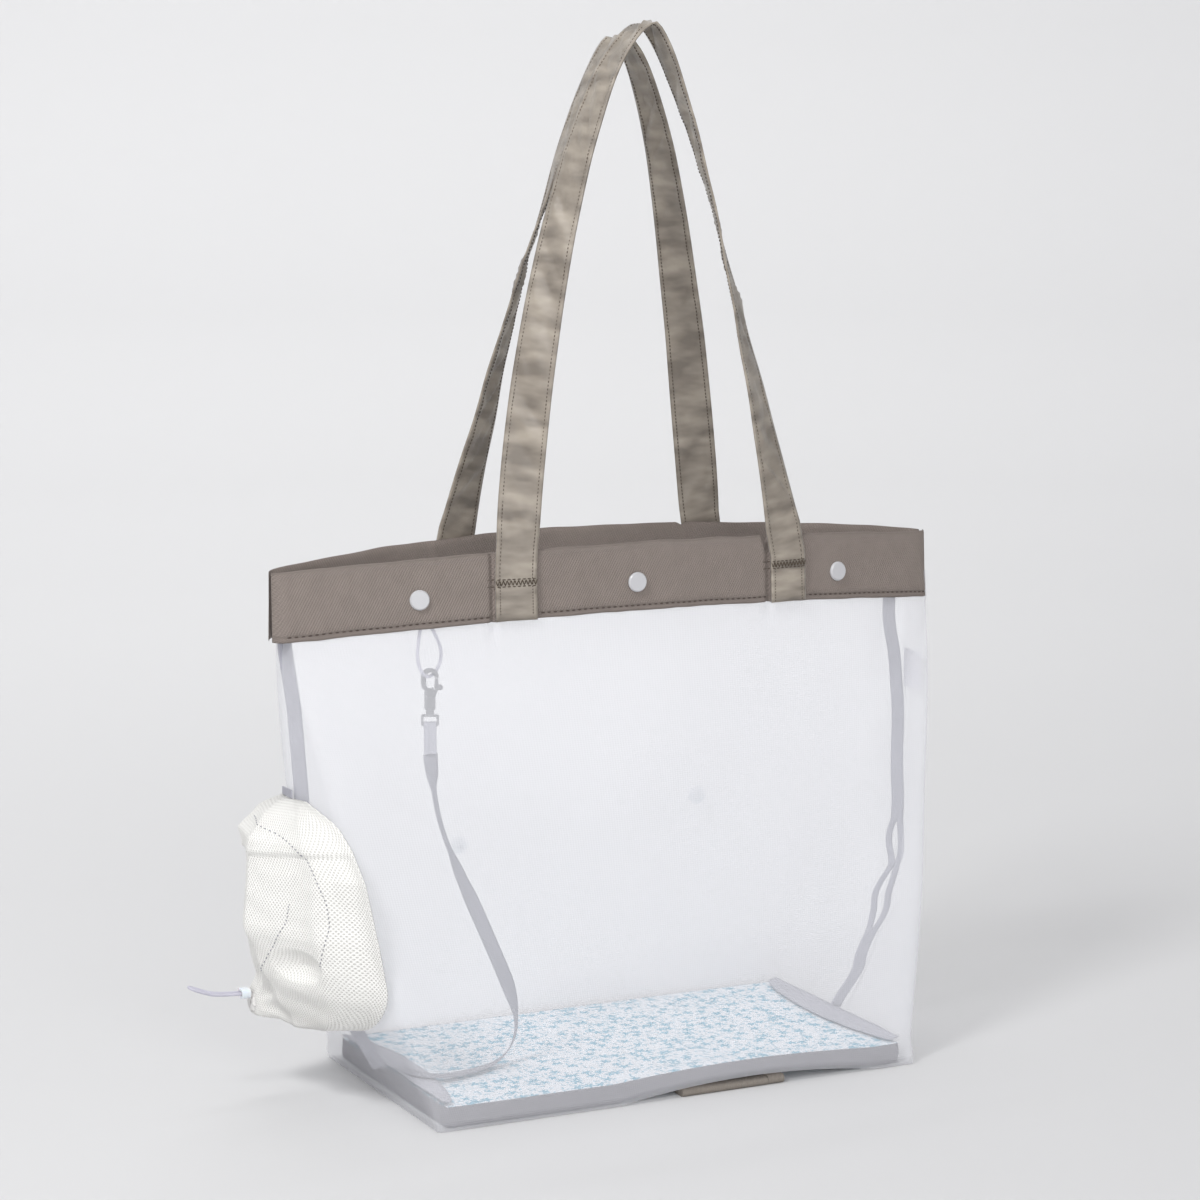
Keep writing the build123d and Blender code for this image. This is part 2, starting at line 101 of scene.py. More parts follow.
world = bpy.data.worlds.new("studio air")
world.use_nodes = True
world.node_tree.nodes["Background"].inputs["Color"].default_value = (0.79, 0.79, 0.8, 1)
world.node_tree.nodes["Background"].inputs["Strength"].default_value = 0.86
scene.world = world


def add(material, kind, **given):
    """Adds a node. Lower-case names are its settings, the others its inputs, each a value or a socket."""
    node = material.node_tree.nodes.new("ShaderNode" + kind)
    for name, value in given.items():
        if name[0].islower():
            setattr(node, name, value)
        else:
            plug(material, node.inputs[name.replace("_", " ")], value)
    return node


def plug(material, socket, value):
    if isinstance(value, bpy.types.NodeSocket):
        material.node_tree.links.new(value, socket)
    else:
        socket.default_value = value


def sums(material, operation, first, second=0.0, third=0.0):
    """One Math node: its result, from values or sockets."""
    node = add(material, "Math", operation=operation)
    for socket, value in zip(node.inputs, (first, second, third)):
        plug(material, socket, value)
    return node.outputs[0]


def finish(name, colour, rough, **shader_inputs):
    """A material with one shader of that colour and roughness."""
    material = bpy.data.materials.new(name)
    material.use_nodes = True
    shader = material.node_tree.nodes["Principled BSDF"]
    shader.inputs["Base Color"].default_value = (*colour, 1)
    shader.inputs["Roughness"].default_value = rough
    for socket, value in shader_inputs.items():
        shader.inputs[socket.replace("_", " ")].default_value = value
    return material


def shader_of(material):
    return material.node_tree.nodes["Principled BSDF"]


def grained(material, scale, detail, strength, distance):
    """Gives a finish a fine random relief."""
    grain = add(material, "TexNoise", Scale=scale, Detail=detail)
    relief = add(material, "Bump", Strength=strength, Distance=distance, Height=grain.outputs[0])
    plug(material, shader_of(material).inputs["Normal"], relief.outputs[0])


paper = finish("sweep paper", (0.66, 0.66, 0.665), 0.95)
grained(paper, 260.0, 3.0, 0.04, 0.001)

bm = bmesh.new()
profile = [(0.0, 0.0), (1.2, 0.0), (2.4, 0.0), (3.0, 0.06), (3.5, 0.3), (3.8, 0.8), (3.9, 1.6), (3.9, 3.4)]
chain = [bm.verts.new((radius, 0, height)) for radius, height in profile]
rim = [bm.edges.new(pair) for pair in zip(chain, chain[1:])]
bmesh.ops.spin(bm, geom=chain + rim, cent=(0, 0, 0), axis=(0, 0, 1), angle=2 * pi, steps=64, use_merge=True)
bmesh.ops.remove_doubles(bm, verts=bm.verts, dist=1e-5)
bmesh.ops.recalc_face_normals(bm, faces=bm.faces)
sweep_mesh = bpy.data.meshes.new("sweep")
bm.to_mesh(sweep_mesh)
bm.free()
sweep_mesh.materials.append(paper)
for face in sweep_mesh.polygons:
    face.use_smooth = True
link(bpy.data.objects.new("sweep", sweep_mesh))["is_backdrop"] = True


# ---- Cords: the elastic loop, the drawcord's loop and the flat tether tape ----
# Round white elastic of 2.2 and 2 mm, and a woven nylon tape 9.5 mm wide that drops from the clasp,
# twists once on the way down and comes to lie across the pad.
LOOP_ROUTE = (
    (-150.2, -27.8, 316), (-152.8, -28, 304), (-154.2, -28.9, 290.5), (-149.4, -30, 280),
    (-138.6, -21.4, 280.2), (-133.6, -22.5, 291.5), (-137.9, -25.4, 304.5), (-146, -27.8, 316),
)
CORD_START = -245.1
DRAWCORD_ROUTE = (
    (CORD_START, 40, 67.3), (CORD_START - 22, 40, 67.7), (CORD_START - 34, 38.6, 71.9),
    (CORD_START - 41, 40.8, 74.9), (CORD_START - 41, 45.8, 75.1), (CORD_START - 34, 47, 72.1),
    (CORD_START - 22, 44.2, 67.8), (CORD_START, 44.2, 67.3),
)
TETHER_ROUTE = (
    (-144, -25.7, 229.4), (-142.3, -26.3, 205), (-138, -28, 181), (-128, -30, 154), (-115, -31, 125),
    (-101, -28.5, 95), (-88, -24, 68), (-80.5, -20.5, 46), (-83, -19, 27), (-97, -22.5, 17.6),
    (-118, -32, 17.4), (-139, -37, 17.7), (-153, -31, 18.6), (-159, -18, 18.7), (-160, -8, 18.6),
)


def route_curve(name, route, thick=0.0):
    """A cord's smooth line through its route, with a round section where it has a thickness."""
    curve = bpy.data.curves.new(name, "CURVE")
    curve.dimensions = "3D"
    curve.resolution_u = 12
    line = curve.splines.new("NURBS")
    line.points.add(len(route) - 1)
    for point, (x, y, z) in zip(line.points, route):
        point.co = (x * MM, y * MM, z * MM, 1)
    line.order_u = 3
    line.use_endpoint_u = True
    curve.bevel_depth = thick / 2 * MM
    curve.bevel_resolution = 5
    curve.use_fill_caps = True
    return link(bpy.data.objects.new(name, curve))


WAVE_SCALE = 0.314


def woven(name, colour, rough, pitch, slant, strength, spread=0.12, coords="UV", **shader_inputs):
    """A woven finish: fine ribs of that pitch in mm, crossed by weaker ones, on mottled colour."""
    material = finish(name, colour, rough, **shader_inputs)
    place = add(material, "TexCoord").outputs[coords]
    turned = add(material, "Mapping", Vector=place, Rotation=(0, 0, slant)).outputs[0]
    scale = WAVE_SCALE / (pitch * MM)
    ribs = add(material, "TexWave", Vector=turned, Scale=scale, Distortion=0.6).outputs["Fac"]
    across = add(material, "TexWave", Vector=turned, Scale=scale * 1.3, bands_direction="Y").outputs["Fac"]
    mottle = add(material, "TexNoise", Vector=place, Scale=90.0, Detail=6.0, Roughness=0.7).outputs["Fac"]
    height = sums(material, "MULTIPLY_ADD", across, 0.5, ribs)
    bump = add(material, "Bump", Strength=strength, Distance=0.0004, Height=height)
    plug(material, shader_of(material).inputs["Normal"], bump.outputs[0])
    uneven = sums(material, "MULTIPLY_ADD", height, 0.35, mottle)
    shade = sums(material, "MULTIPLY_ADD", uneven, spread, 1 - spread)
    tint = add(material, "Mix", data_type="RGBA", blend_type="MULTIPLY", clamp_factor=True)
    tint.inputs[0].default_value = 1.0
    tint.inputs[6].default_value = (*colour, 1)
    grey = add(material, "CombineColor", Red=shade, Green=shade, Blue=shade)
    plug(material, tint.inputs[7], grey.outputs[0])
    plug(material, shader_of(material).inputs["Base Color"], tint.outputs[2])
    return material


def paint(obj, material):
    """Puts one finish on a piece and smooths its faces."""
    obj.data.materials.clear()
    obj.data.materials.append(material)
    for face in getattr(obj.data, "polygons", ()):
        face.use_smooth = True


elastic = woven("white elastic", (0.6, 0.59, 0.68), 0.6, 0.7, 0.6, 0.5, coords="Object")
grey_tape = woven("grey tape", (0.3, 0.3, 0.345), 0.65, 0.9, 0.0, 0.6, spread=0.1)

loop = route_curve("elastic_loop_cord", LOOP_ROUTE, 2.2)
paint(loop, elastic)
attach(loop, "bag")
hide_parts("elastic_loop")

drawcord = route_curve("drawcord_loop", DRAWCORD_ROUTE, 2.0)
paint(drawcord, elastic)
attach(drawcord, "pouch")
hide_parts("drawcord")


def route_points(name, route):
    """Points along a route's smooth line, and their length so far, both in metres."""
    helper = route_curve(name, route)
    line = bpy.data.meshes.new_from_object(helper)
    points = [vertex.co.copy() for vertex in line.vertices]
    bpy.data.objects.remove(helper)
    run = [0.0]
    for before, after in zip(points, points[1:]):
        run.append(run[-1] + (after - before).length)
    return points, run


def along_table(table, share):
    """A value between the rows (share, value) of a table, eased from one to the next."""
    for (s0, v0), (s1, v1) in zip(table, table[1:]):
        if share <= s1:
            step = (share - s0) / (s1 - s0)
            return v0 + (v1 - v0) * step * step * (3 - 2 * step)
    return table[-1][1]


TAPE_WIDE, TAPE_THICK = 9.5, 0.6
TAPE_TURNS = (
    (0, 0.3), (0.03, 0.6), (0.08, 1.36), (0.2, 1.42), (0.27, 0.9),
    (0.34, 0.4), (0.52, 0.4), (0.64, 1.4), (1, 1.57),
)
TOWARDS = Vector((-0.44, -0.9, 0.0))

tape_line, tape_run = route_points("tether_route", TETHER_ROUTE)
bm = bmesh.new()
uv = bm.loops.layers.uv.new("UVMap")
bmesh.ops.create_grid(bm, x_segments=6, y_segments=len(tape_line) - 1, size=0.5, calc_uvs=True)
rows = len(tape_line) - 1
for face in bm.faces:
    for corner in face.loops:
        spot = corner.vert.co
        corner[uv].uv = ((spot.x + 0.5) * TAPE_WIDE * MM, (spot.y + 0.5) * tape_run[-1])
for vertex in bm.verts:
    side, row = vertex.co.x, round((vertex.co.y + 0.5) * rows)
    ahead = (tape_line[min(row + 1, rows)] - tape_line[max(row - 1, 0)]).normalized()
    turn = along_table(TAPE_TURNS, tape_run[row] / tape_run[-1])
    wide = ahead.cross(TOWARDS).normalized()
    edge = (TOWARDS - ahead * TOWARDS.dot(ahead)).normalized()
    across = wide * cos(turn) + edge * sin(turn)
    vertex.co = tape_line[row] + across * side * TAPE_WIDE * MM
tape_mesh = bpy.data.meshes.new("tether_ribbon")
bm.to_mesh(tape_mesh)
bm.free()
ribbon = link(bpy.data.objects.new("tether_ribbon", tape_mesh))
paint(ribbon, grey_tape)


def thicken(obj, thick, offset=0.0):
    """Gives a sheet its thickness, in mm."""
    solid = obj.modifiers.new("thickness", "SOLIDIFY")
    solid.thickness, solid.offset = thick * MM, offset
    return obj


thicken(ribbon, TAPE_THICK)
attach(ribbon, "bag")
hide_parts("tether_tape")
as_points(tape_line)


# ---- Body: one bag of sheer white mesh cloth, sewn up at the sides and boxed at the base ----
# A fine stiff see-through voile. Its side seams are bound, and it hangs from the band in one smooth
# sheet that rounds over from the broad base to the long narrow mouth.
HEIGHT, BASE_SHIFT, FRONT_BOW, BACK_BOW = 361.0, 5.0, 36.0, 43.0
FRONT, BACK, END_SHARE = -1, 1, 0.14
WALL = (
    (0, 175, 96, 175, 175), (50, 188, 84, 202, 202), (90, 197, 74, 218, 218), (125, 204, 65, 229, 229),
    (215, 221, 42, 234, 228), (262, 230, 27, 237, 229), (300, 237, 15, 242, 242), (361, 242, 7, 242.5, 242.5),
)


def wall_row(height):
    """Half width, half depth, left seam and right seam of the body at that height."""
    height = min(max(height, 0), HEIGHT)
    for low, high in zip(WALL, WALL[1:]):
        if height <= high[0]:
            share = (height - low[0]) / (high[0] - low[0])
            return [a + (b - a) * share for a, b in zip(low[1:], high[1:])]


def middle_x(height):
    return BASE_SHIFT * (1 - min(height, HEIGHT) / HEIGHT)


def face_y(side, x, height, out=0.0):
    """Where the front or back wall is at that place, moved outward by so much."""
    half_width, half_depth, _, _ = wall_row(height)
    bow = (FRONT_BOW if side == FRONT else BACK_BOW) * min(height, HEIGHT) / HEIGHT
    share = (x - middle_x(height)) / half_width
    return side * (half_depth + out + bow * (1 - share * share))


def face_normal(side, x, height):
    across = face_y(side, x + 1, height) - face_y(side, x - 1, height)
    up = face_y(side, x, height + 4) - face_y(side, x, height - 4)
    return Vector((-side * across / 2, side, -side * up / 8)).normalized()


def base_lift(x, y):
    """How far the base's front edge stands off the floor over the rolled tab."""
    if not -42 < x < 150:
        return 0.0
    arch = 1 - ((x - 54) / 96) ** 2
    return 8.0 * arch * min(max((-y - 66) / 14, 0), 1)


def ripple(point, size, high, seed=0.0):
    """A smooth random swell of up to about that height at a point, in mm."""
    return noise.noise(Vector(point) / size + Vector((seed, seed * 1.7, 0))) * high


def body_ring(turn, height):
    """A point round the body at that height: turn 0 is the left seam and 0.5 the right."""
    half_width, half_depth, left, right = wall_row(height)
    side, share = (FRONT, turn * 2) if turn <= 0.5 else (BACK, 2 - turn * 2)
    centre, wing = middle_x(height), END_SHARE
    if share < wing:
        step = share / wing
        return Vector((centre - left + (left - half_width) * step, side * half_depth * step, height))
    if share > 1 - wing:
        step = (1 - share) / wing
        return Vector((centre + right + (half_width - right) * step, side * half_depth * step, height))
    x = centre + half_width * ((share - wing) / (1 - 2 * wing) * 2 - 1)
    return Vector((x, face_y(side, x, height), height))


def cloth(name, columns, rows, place, size=(1, 1), around=False):
    """A sheet of cloth: a flat grid, each point moved to place(u, v), in mm. Its UV map is in metres."""
    bm = bmesh.new()
    uv = bm.loops.layers.uv.new("UVMap")
    bmesh.ops.create_grid(bm, x_segments=columns, y_segments=rows, size=0.5, calc_uvs=True)
    for face in bm.faces:
        for corner in face.loops:
            spot = corner.vert.co
            corner[uv].uv = ((spot.x + 0.5) * size[0] * MM, (spot.y + 0.5) * size[1] * MM)
    for vertex in bm.verts:
        vertex.co = place(vertex.co.x + 0.5, vertex.co.y + 0.5) * MM
    if around:
        bmesh.ops.remove_doubles(bm, verts=bm.verts, dist=2e-6)
        bmesh.ops.recalc_face_normals(bm, faces=bm.faces)
    mesh = bpy.data.meshes.new(name)
    bm.to_mesh(mesh)
    bm.free()
    return link(bpy.data.objects.new(name, mesh))


def reshape(obj, change):
    """Runs a bmesh change on a piece's mesh."""
    bm = bmesh.new()
    bm.from_mesh(obj.data)
    change(bm)
    bm.to_mesh(obj.data)
    bm.free()


BODY_TOP, BASE_SHARE, TUCK_LOW = 324.0, 0.14, 300
FRONT_FEET, BACK_FEET = (-90.0, 111.0), (-97.0, 92.0)


def tuck(side, x):
    """The narrow crease that each handle's left edge pulls into the mouth's cloth."""
    feet, deep = (FRONT_FEET, 3.4) if side == FRONT else (BACK_FEET, 0.9)
    return -sum(deep * max(0, 1 - abs(x - foot + 15.4) / 2.1) for foot in feet)


def body_place(u, v):
    """The base from its middle out over the first rows, then the walls up to the band."""
    if v < BASE_SHARE:
        edge, step = body_ring(u, 0), max(v / BASE_SHARE, 0.02)
        point = Vector((BASE_SHIFT + (edge.x - BASE_SHIFT) * step, edge.y * step, 0.4))
        point.z += base_lift(point.x, point.y)
        return point
    height = (v - BASE_SHARE) / (1 - BASE_SHARE)
    height = 0.4 + (BODY_TOP - 0.4) * height
    point = body_ring(u, height)
    point.z += base_lift(point.x, point.y - 12) * max(0, 1 - height / 30)
    loose = max(min((height - 14) / 70, (BODY_TOP - height) / 40, 1), 0)
    out = Vector((point.x * 0.2, point.y, 0)).normalized()
    point += out * loose * (ripple(point, 95, 2.4) + ripple(point, 38, 0.7, 3))
    side = BACK if u > 0.5 else FRONT
    point.y += side * tuck(side, point.x) * max(0, min((height - TUCK_LOW) / 12, 1))
    below = max(0, 284 - height) * 0.6
    point.x = max(min(point.x, 235 + below), -234 - below)
    return point


body = cloth("sheer_body", 336, 64, body_place, (1000, 420), around=True)


def ease_corners(bm):
    walls = [v for v in bm.verts if 0.01 < v.co.z < 0.305]
    for _ in range(24):
        bmesh.ops.smooth_vert(bm, verts=walls, factor=0.5, use_axis_x=True, use_axis_y=True)


reshape(body, ease_corners)
sheer = finish("sheer cloth", (0.93, 0.935, 0.975), 0.8, Alpha=0.34)
threads = add(sheer, "TexCoord").outputs["UV"]
warp = add(sheer, "TexWave", Vector=threads, Scale=210.0, Distortion=0.4).outputs["Fac"]
weft = add(sheer, "TexWave", Vector=threads, Scale=210.0, bands_direction="Y").outputs["Fac"]
relief = add(sheer, "Bump", Strength=0.25, Distance=0.0003, Height=sums(sheer, "ADD", warp, weft))
plug(sheer, shader_of(sheer).inputs["Normal"], relief.outputs[0])
paint(body, sheer)
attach(body, "bag")
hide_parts("front_panel", "back_panel", "base_panel")


# ---- Band: taupe cotton twill, folded double over the mouth of the bag ----
# A 45 mm band on each side, with a row of stitches along its lower edge and a crease where each
# handle is tucked in. Both bands round in at their ends, towards the side seams.
BAND_TALL, BAND_OUT, BAND_IN, DROOP = 45.0, 1.2, 1.8, 10.5
TWILL = (0.262, 0.22, 0.196)
twill = woven("taupe twill", TWILL, 0.8, 1.5, 0.62, 0.8, spread=0.3)


def mouth_drop(x):
    return DROOP * (x / 242) ** 2


BAND_LEFT, BAND_RIGHT, END_ROUND = -242.3, 238.4, 9.0


def band_y(side, x, z, out):
    """Where a band's face is; both bands round in at their ends, towards the side seams."""
    end = max(BAND_LEFT + END_ROUND - x, x - BAND_RIGHT + END_ROUND, 0) / END_ROUND
    return face_y(side, x, z, out) * max(1 - min(end, 1) ** 2.4, 0.06) ** 0.5


def band_swell(side, x, z):
    return ripple((x, 0, z), 46, 1.3, side + 2) + ripple((x, 0, z), 15, 0.35, 7)


def band_place(side):
    """A band's closed section, its outer face first, then its top fold, inner face and lower edge."""
    feet = FRONT_FEET if side == FRONT else BACK_FEET
    outer = [(0.0, BAND_OUT * 0.3), (0.01, BAND_OUT * 0.9), (0.05, BAND_OUT), (0.085, BAND_OUT - 0.45)]
    outer += [(step / 10, BAND_OUT) for step in range(1, 10)] + [(0.97, BAND_OUT), (0.99, BAND_OUT * 0.7)]
    inner = [(1.0, -0.4), (0.99, -BAND_IN * 0.8)] + [(step / 10, -BAND_IN) for step in range(9, 0, -1)]
    section = outer + inner + [(0.02, -BAND_IN), (0.0, -BAND_IN * 0.6)]

    def place(u, v):
        up, out = section[round(v * len(section)) % len(section)]
        x = BAND_LEFT + (BAND_RIGHT - BAND_LEFT) * u
        low = HEIGHT - BAND_TALL - mouth_drop(x)
        notch = max(0, 1 - abs(x - feet[1] + 17.6) / 3.4) * (13 if side == FRONT else 2)
        z = low + BAND_TALL * up - notch * up ** 5
        z += ripple((x, 0, 0), 26, 0.9, side) * up + ripple((x, 0, 0), 12, 0.4, 5) * (1 - up)
        return Vector((x, band_y(side, x, z, out + band_swell(side, x, z) + tuck(side, x)), z))

    return place, len(section)


def band_mesh(name, side):
    place, rings = band_place(side)
    strip = cloth(name, 320, rings, place, (490, 98), around=True)

    def cap(bm):
        bmesh.ops.holes_fill(bm, edges=[e for e in bm.edges if e.is_boundary])
        bmesh.ops.recalc_face_normals(bm, faces=bm.faces)

    reshape(strip, cap)
    paint(strip, twill)
    return strip


front_strip = band_mesh("front_band_twill", FRONT)
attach(front_strip, "bag")
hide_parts("front_band")
back_strip = band_mesh("back_band_twill", BACK)
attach(back_strip, "bag")
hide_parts("back_band")

thread = woven("sewing thread", (0.085, 0.062, 0.05), 0.8, 0.4, 0.8, 0.6, coords="Object")


def sewn(name, stitches, thick, material):
    """Sewing thread: one small rounded bead for each stitch, from its first end to its last, in mm."""
    bm = bmesh.new()
    bmesh.ops.create_icosphere(bm, subdivisions=1, radius=0.5)
    bead = bm.verts[:] + bm.edges[:] + bm.faces[:]
    for first, last in stitches:
        first, last = Vector(first) * MM, Vector(last) * MM
        ahead = last - first
        copied = bmesh.ops.duplicate(bm, geom=bead)["geom"]
        made = [v for v in copied if isinstance(v, bmesh.types.BMVert)]
        turn = ahead.to_track_quat("Z", "Y").to_matrix()
        for vertex in made:
            bead_x, bead_y, bead_z = vertex.co
            sized = Vector((bead_x * thick * MM, bead_y * thick * MM, bead_z * ahead.length * 1.06))
            vertex.co = turn @ sized + (first + last) / 2
    bmesh.ops.delete(bm, geom=[v for v in bead if isinstance(v, bmesh.types.BMVert)], context="VERTS")
    mesh = bpy.data.meshes.new(name)
    bm.to_mesh(mesh)
    bm.free()
    piece = link(bpy.data.objects.new(name, mesh))
    paint(piece, material)
    return piece


STITCH, GAP = 2.6, 1.6


def band_stitches(side, feet):
    """The running stitch along a band's lower edge, on its outer face, clear of the handles."""
    rows, x = [], BAND_LEFT + 6
    while x < BAND_RIGHT - 8:
        if all(abs(x - foot) > 17 for foot in feet):
            ends = []
            for at in (x, x + STITCH):
                z = HEIGHT - BAND_TALL - mouth_drop(at) + 3.6 + ripple((at, 0, 0), 20, 0.3, 4)
                ends.append((at, band_y(side, at, z, BAND_OUT + band_swell(side, at, z) - 0.1), z))
            rows.append(ends)
        x += STITCH + GAP
    return rows


BAND_ROWS = ((FRONT, FRONT_FEET, "front_band_stitches"), (BACK, BACK_FEET, "back_band_stitches"))
for side, feet, name in BAND_ROWS:
    row = sewn(name, band_stitches(side, feet), 0.95, thread)
    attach(row, "bag")


# ---- Handles: two straps of taupe satin, topstitched down both edges ----
# Each strap is a folded 28 mm ribbon, sewn flat over the band with a zigzag bar-tack, that turns
# edge-on as it rises to the arch. The cloth is soft and shows slanting creases down its length.
FRONT_STRAP = (FRONT, FRONT_FEET[0], 14.0, FRONT_FEET[1], -20.0, 695.0, (1.4, 0.6), (1.0, 0.7))
BACK_STRAP = (BACK, BACK_FEET[0], 8.0, BACK_FEET[1], 13.0, 687.0, (1.0, 0.7), (1.0, 0.55))
STRAP_WIDE, STRAP_THICK, STRAP_GAP, TACK_Z = 28.0, 1.8, 1.5, 345.0


def strap_spot(strap, share):
    """The strap's centre and how far it has turned: share is -1 at the left foot and 1 at the right."""
    side, left, apex, right, apex_y, top, left_leg, right_leg = strap
    foot, (p, q) = (left, left_leg) if share < 0 else (right, right_leg)
    rise = (1 - abs(share) ** (1 / q)) ** (1 / p)
    foot_y = face_y(side, foot, TACK_Z, STRAP_GAP + STRAP_THICK / 2)
    lean = max(0.0, rise - 0.06) / 0.94
    x = apex + (foot - apex) * abs(share)
    start = TACK_Z + 0.3
    return Vector((x, foot_y + (apex_y - foot_y) * lean, start + (top - start) * rise)), lean


def strap_frame(strap, share):
    """The strap's centre, its direction across its width and its outward face, at a share."""
    spot, lean = strap_spot(strap, share)
    before, _ = strap_spot(strap, max(share - 0.004, -1))
    after, _ = strap_spot(strap, min(share + 0.004, 1))
    ahead = (after - before).normalized()
    foot = strap[1] if share < 0 else strap[3]
    if abs(share) > 0.9999:
        ahead = Vector((0, 0, 1 if share < 0 else -1))
    flat = face_normal(strap[0], foot, TACK_Z)
    radial = ahead.cross(Vector((0, 1, 0)))
    twist = pi / 2 * lean ** 0.7
    outward = flat * cos(twist) + radial * sin(twist)
    across = ahead.cross(outward).normalized()
    return spot, across, across.cross(ahead).normalized()


def strap_stations(strap, count=150):
    """Shares along a strap, evenly spaced by length, with the sewn ends first and last."""
    fine = [-1 + 2 * i / 3000 for i in range(3001)]
    spots = [strap_spot(strap, s)[0] for s in fine]
    run = [0.0]
    for a, b in zip(spots, spots[1:]):
        run.append(run[-1] + (b - a).length)
    picked, at = [], 0
    for i in range(count + 1):
        want = run[-1] * i / count
        while at < 2999 and run[at + 1] < want:
            at += 1
        picked.append(fine[at] + (fine[at + 1] - fine[at]) * (want - run[at]) / (run[at + 1] - run[at]))
    picked[0], picked[-1] = -1.0, 1.0
    return picked, run[-1]


FOOT_ROWS, ROW_PITCH, SLANT = 8, 5.1, 34


def strap_row(strap, stations, row):
    """Centre, across and outward of a row, counting the sewn rows below each bar-tack."""
    last = len(stations) - 1
    down = max(FOOT_ROWS - row, row - FOOT_ROWS - last, 0)
    if not down:
        return strap_frame(strap, stations[row - FOOT_ROWS])
    side, left, _, right = strap[:4]
    foot = left if row < FOOT_ROWS else right
    low = HEIGHT - BAND_TALL - mouth_drop(foot) + 0.3
    z = TACK_Z - (TACK_Z - low) * down / FOOT_ROWS
    spot = Vector((foot, face_y(side, foot, z, STRAP_GAP + STRAP_THICK / 2), z))
    outward = face_normal(side, foot, z)
    ahead = Vector((0, 0, 1 if row < FOOT_ROWS else -1))
    across = ahead.cross(outward).normalized()
    return spot, across, outward


def strap_surface(strap, stations, seed):
    """place(u, v) for a strap's face: rolled edges, stitch channels and slanting creases."""
    last = len(stations) - 1 + 2 * FOOT_ROWS

    def place(u, v):
        row = round(v * last)
        spot, across, outward = strap_row(strap, stations, row)
        side = u - 0.5
        free = min(max(min(row - FOOT_ROWS, last - FOOT_ROWS - row) / 8, 0), 1)
        run = row * ROW_PITCH
        slant = run + side * SLANT
        crease = ripple((slant, 0, side * 9), 12, 3.6, seed)
        crease += ripple((slant, 0, side * 20), 6, 1.3, seed + 4)
        crease *= free * max(0, 1 - (abs(side) / 0.43) ** 4)
        channel = -0.35 * (max(0, 1 - abs(abs(side) - 0.395) / 0.045))
        wave = ripple((run, 0, 0), 45, 1.0, seed + 9) * free
        return spot + across * side * STRAP_WIDE + outward * (crease + channel + wave)

    return place, last


satin = woven("taupe satin with painted sheen", (0.41, 0.36, 0.3), 0.34, 0.8, 0.62, 0.22, spread=0.2,
              Anisotropic=0.5, Sheen_Weight=0.3, Sheen_Roughness=0.35)
# Painted sheen: slanting bands of lighter and darker colour are multiplied into the satin's colour. They
# stand in for the highlights and shade that light makes along its creases.
satin_uv = add(satin, "TexCoord").outputs["UV"]
slanted = add(satin, "Mapping", Vector=satin_uv, Rotation=(0, 0, 0.62), Scale=(30.0, 90.0, 1.0)).outputs[0]
painted_sheen_noise = add(satin, "TexNoise", Vector=slanted, Scale=1.0, Detail=2.5, Roughness=0.45).outputs[0]
painted_sheen_ramp = add(satin, "ValToRGB", Fac=painted_sheen_noise)
painted_sheen_ramp.color_ramp.elements[0].position, painted_sheen_ramp.color_ramp.elements[1].position = 0.34, 0.66
painted_sheen_ramp.color_ramp.elements[0].color = (0.5, 0.49, 0.49, 1)
woven_colour = shader_of(satin).inputs["Base Color"].links[0].from_socket
painted_sheen_tint = add(satin, "Mix", data_type="RGBA", blend_type="MULTIPLY")
plug(satin, painted_sheen_tint.inputs[0], 1.0)
plug(satin, painted_sheen_tint.inputs[6], woven_colour)
plug(satin, painted_sheen_tint.inputs[7], painted_sheen_ramp.outputs[0])
plug(satin, shader_of(satin).inputs["Base Color"], painted_sheen_tint.outputs[2])
topstitch = woven("topstitch thread", (0.105, 0.08, 0.058), 0.8, 0.4, 0.8, 0.6, coords="Object")


ZIGZAGS, ZIG_LOW, ZIG_HIGH = 22, 337.5, 341.2


def strap_piece(name, strap, nodes, seed):
    stations, long = strap_stations(strap)
    place, last = strap_surface(strap, stations, seed)
    ribbon = cloth(name, 16, last, place, (STRAP_WIDE, long + 60))
    paint(ribbon, satin)
    thicken(ribbon, 1.3)
    finish_modifiers(ribbon)
    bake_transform(ribbon)
    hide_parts(*nodes)
    stitches = []
    for edge in (0.105, 0.895):
        for row in range(1, last):
            _, _, outward = strap_row(strap, stations, row)
            a, b = place(edge, row / last), place(edge, (row + 1) / last)
            for out in (0.75, -0.75):
                for share in (0.02, 0.52):
                    raised = outward * out
                    stitches.append((a.lerp(b, share) + raised, a.lerp(b, share + 0.36) + raised))
    threads = sewn(name + "_topstitch", stitches, 0.8, topstitch)
    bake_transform(threads)
    side = strap[0]
    tack = []
    for foot in (strap[1], strap[3]):
        for i in range(ZIGZAGS):
            x0 = foot - STRAP_WIDE / 2 + i * STRAP_WIDE / ZIGZAGS
            x1 = foot - STRAP_WIDE / 2 + (i + 1) * STRAP_WIDE / ZIGZAGS
            z0, z1 = (ZIG_LOW, ZIG_HIGH) if i % 2 else (ZIG_HIGH, ZIG_LOW)
            out = STRAP_GAP + STRAP_THICK + 0.15
            tack.append(((x0, face_y(side, x0, z0, out), z0), (x1, face_y(side, x1, z1, out), z1)))
        for z in (337.0, 341.6):
            for i in range(10):
                x0, x1 = foot - 20 + i * 3.4, foot - 20 + i * 3.4 + 2.6
                out = STRAP_GAP + STRAP_THICK + (0.1 if abs(x0 - foot) < 14 else -1.6)
                tack.append(((x0, face_y(side, x0, z, out), z), (x1, face_y(side, x1, z, out), z)))
    bar = sewn(name + "_bar_tack", tack, 0.75, topstitch)
    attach(bar, "bag")


